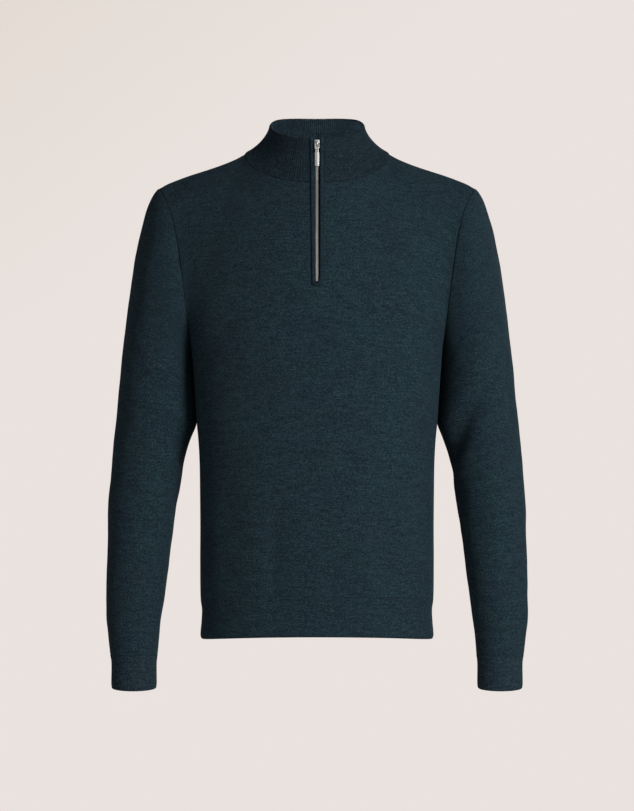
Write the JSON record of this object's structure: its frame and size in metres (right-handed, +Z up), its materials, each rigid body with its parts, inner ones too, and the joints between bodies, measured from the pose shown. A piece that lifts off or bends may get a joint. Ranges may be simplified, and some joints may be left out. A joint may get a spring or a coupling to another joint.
{
  "type": "quarter zip sweater",
  "caption": "Fine knit pullover with a ribbed stand-up collar, a short front zip with a metal pull tab, long set-in sleeves, ribbed cuffs and a plain folded hem, hollow as if worn.",
  "frame": {"origin": "between the shoulders, level with the base of the neck, where the wearer's neck and shoulders hold the sweater up", "axes": "+Z up, the front towards -Y, the wearer's left towards +X"},
  "size_m": [0.5612, 0.2263, 0.7669],
  "materials": {
    "knit": "fine heathered jersey knit, dark blue-green, matt with a faint nap",
    "rib_knit": "fine 1x1 rib in the same yarn, matt",
    "zip_tape": "woven zip tape, near black, matt",
    "zip_metal": "polished silver-coloured zip metal"
  },
  "bodies": {
    "garment": {"front": "knit", "back": "knit", "sleeve_left": "knit", "sleeve_right": "knit", "hem_front": "knit", "hem_back": "knit", "zip_trim": "knit", "collar": "rib_knit", "cuff_left": "rib_knit", "cuff_right": "rib_knit", "zip_tape_left": "zip_tape", "zip_tape_right": "zip_tape", "zip_chain": "zip_metal", "zip_slider": "zip_metal"},
    "pull_tab": {"zip_pull": "zip_metal"}
  },
  "joints": [
    {"name": "pull_tab_swing", "type": "hinge", "parent": "garment", "child": "pull_tab", "pos_m": [0, -0.07348, 0.01638], "axis": [-1, 0, 0], "range_deg": [0, 160]}
  ]
}
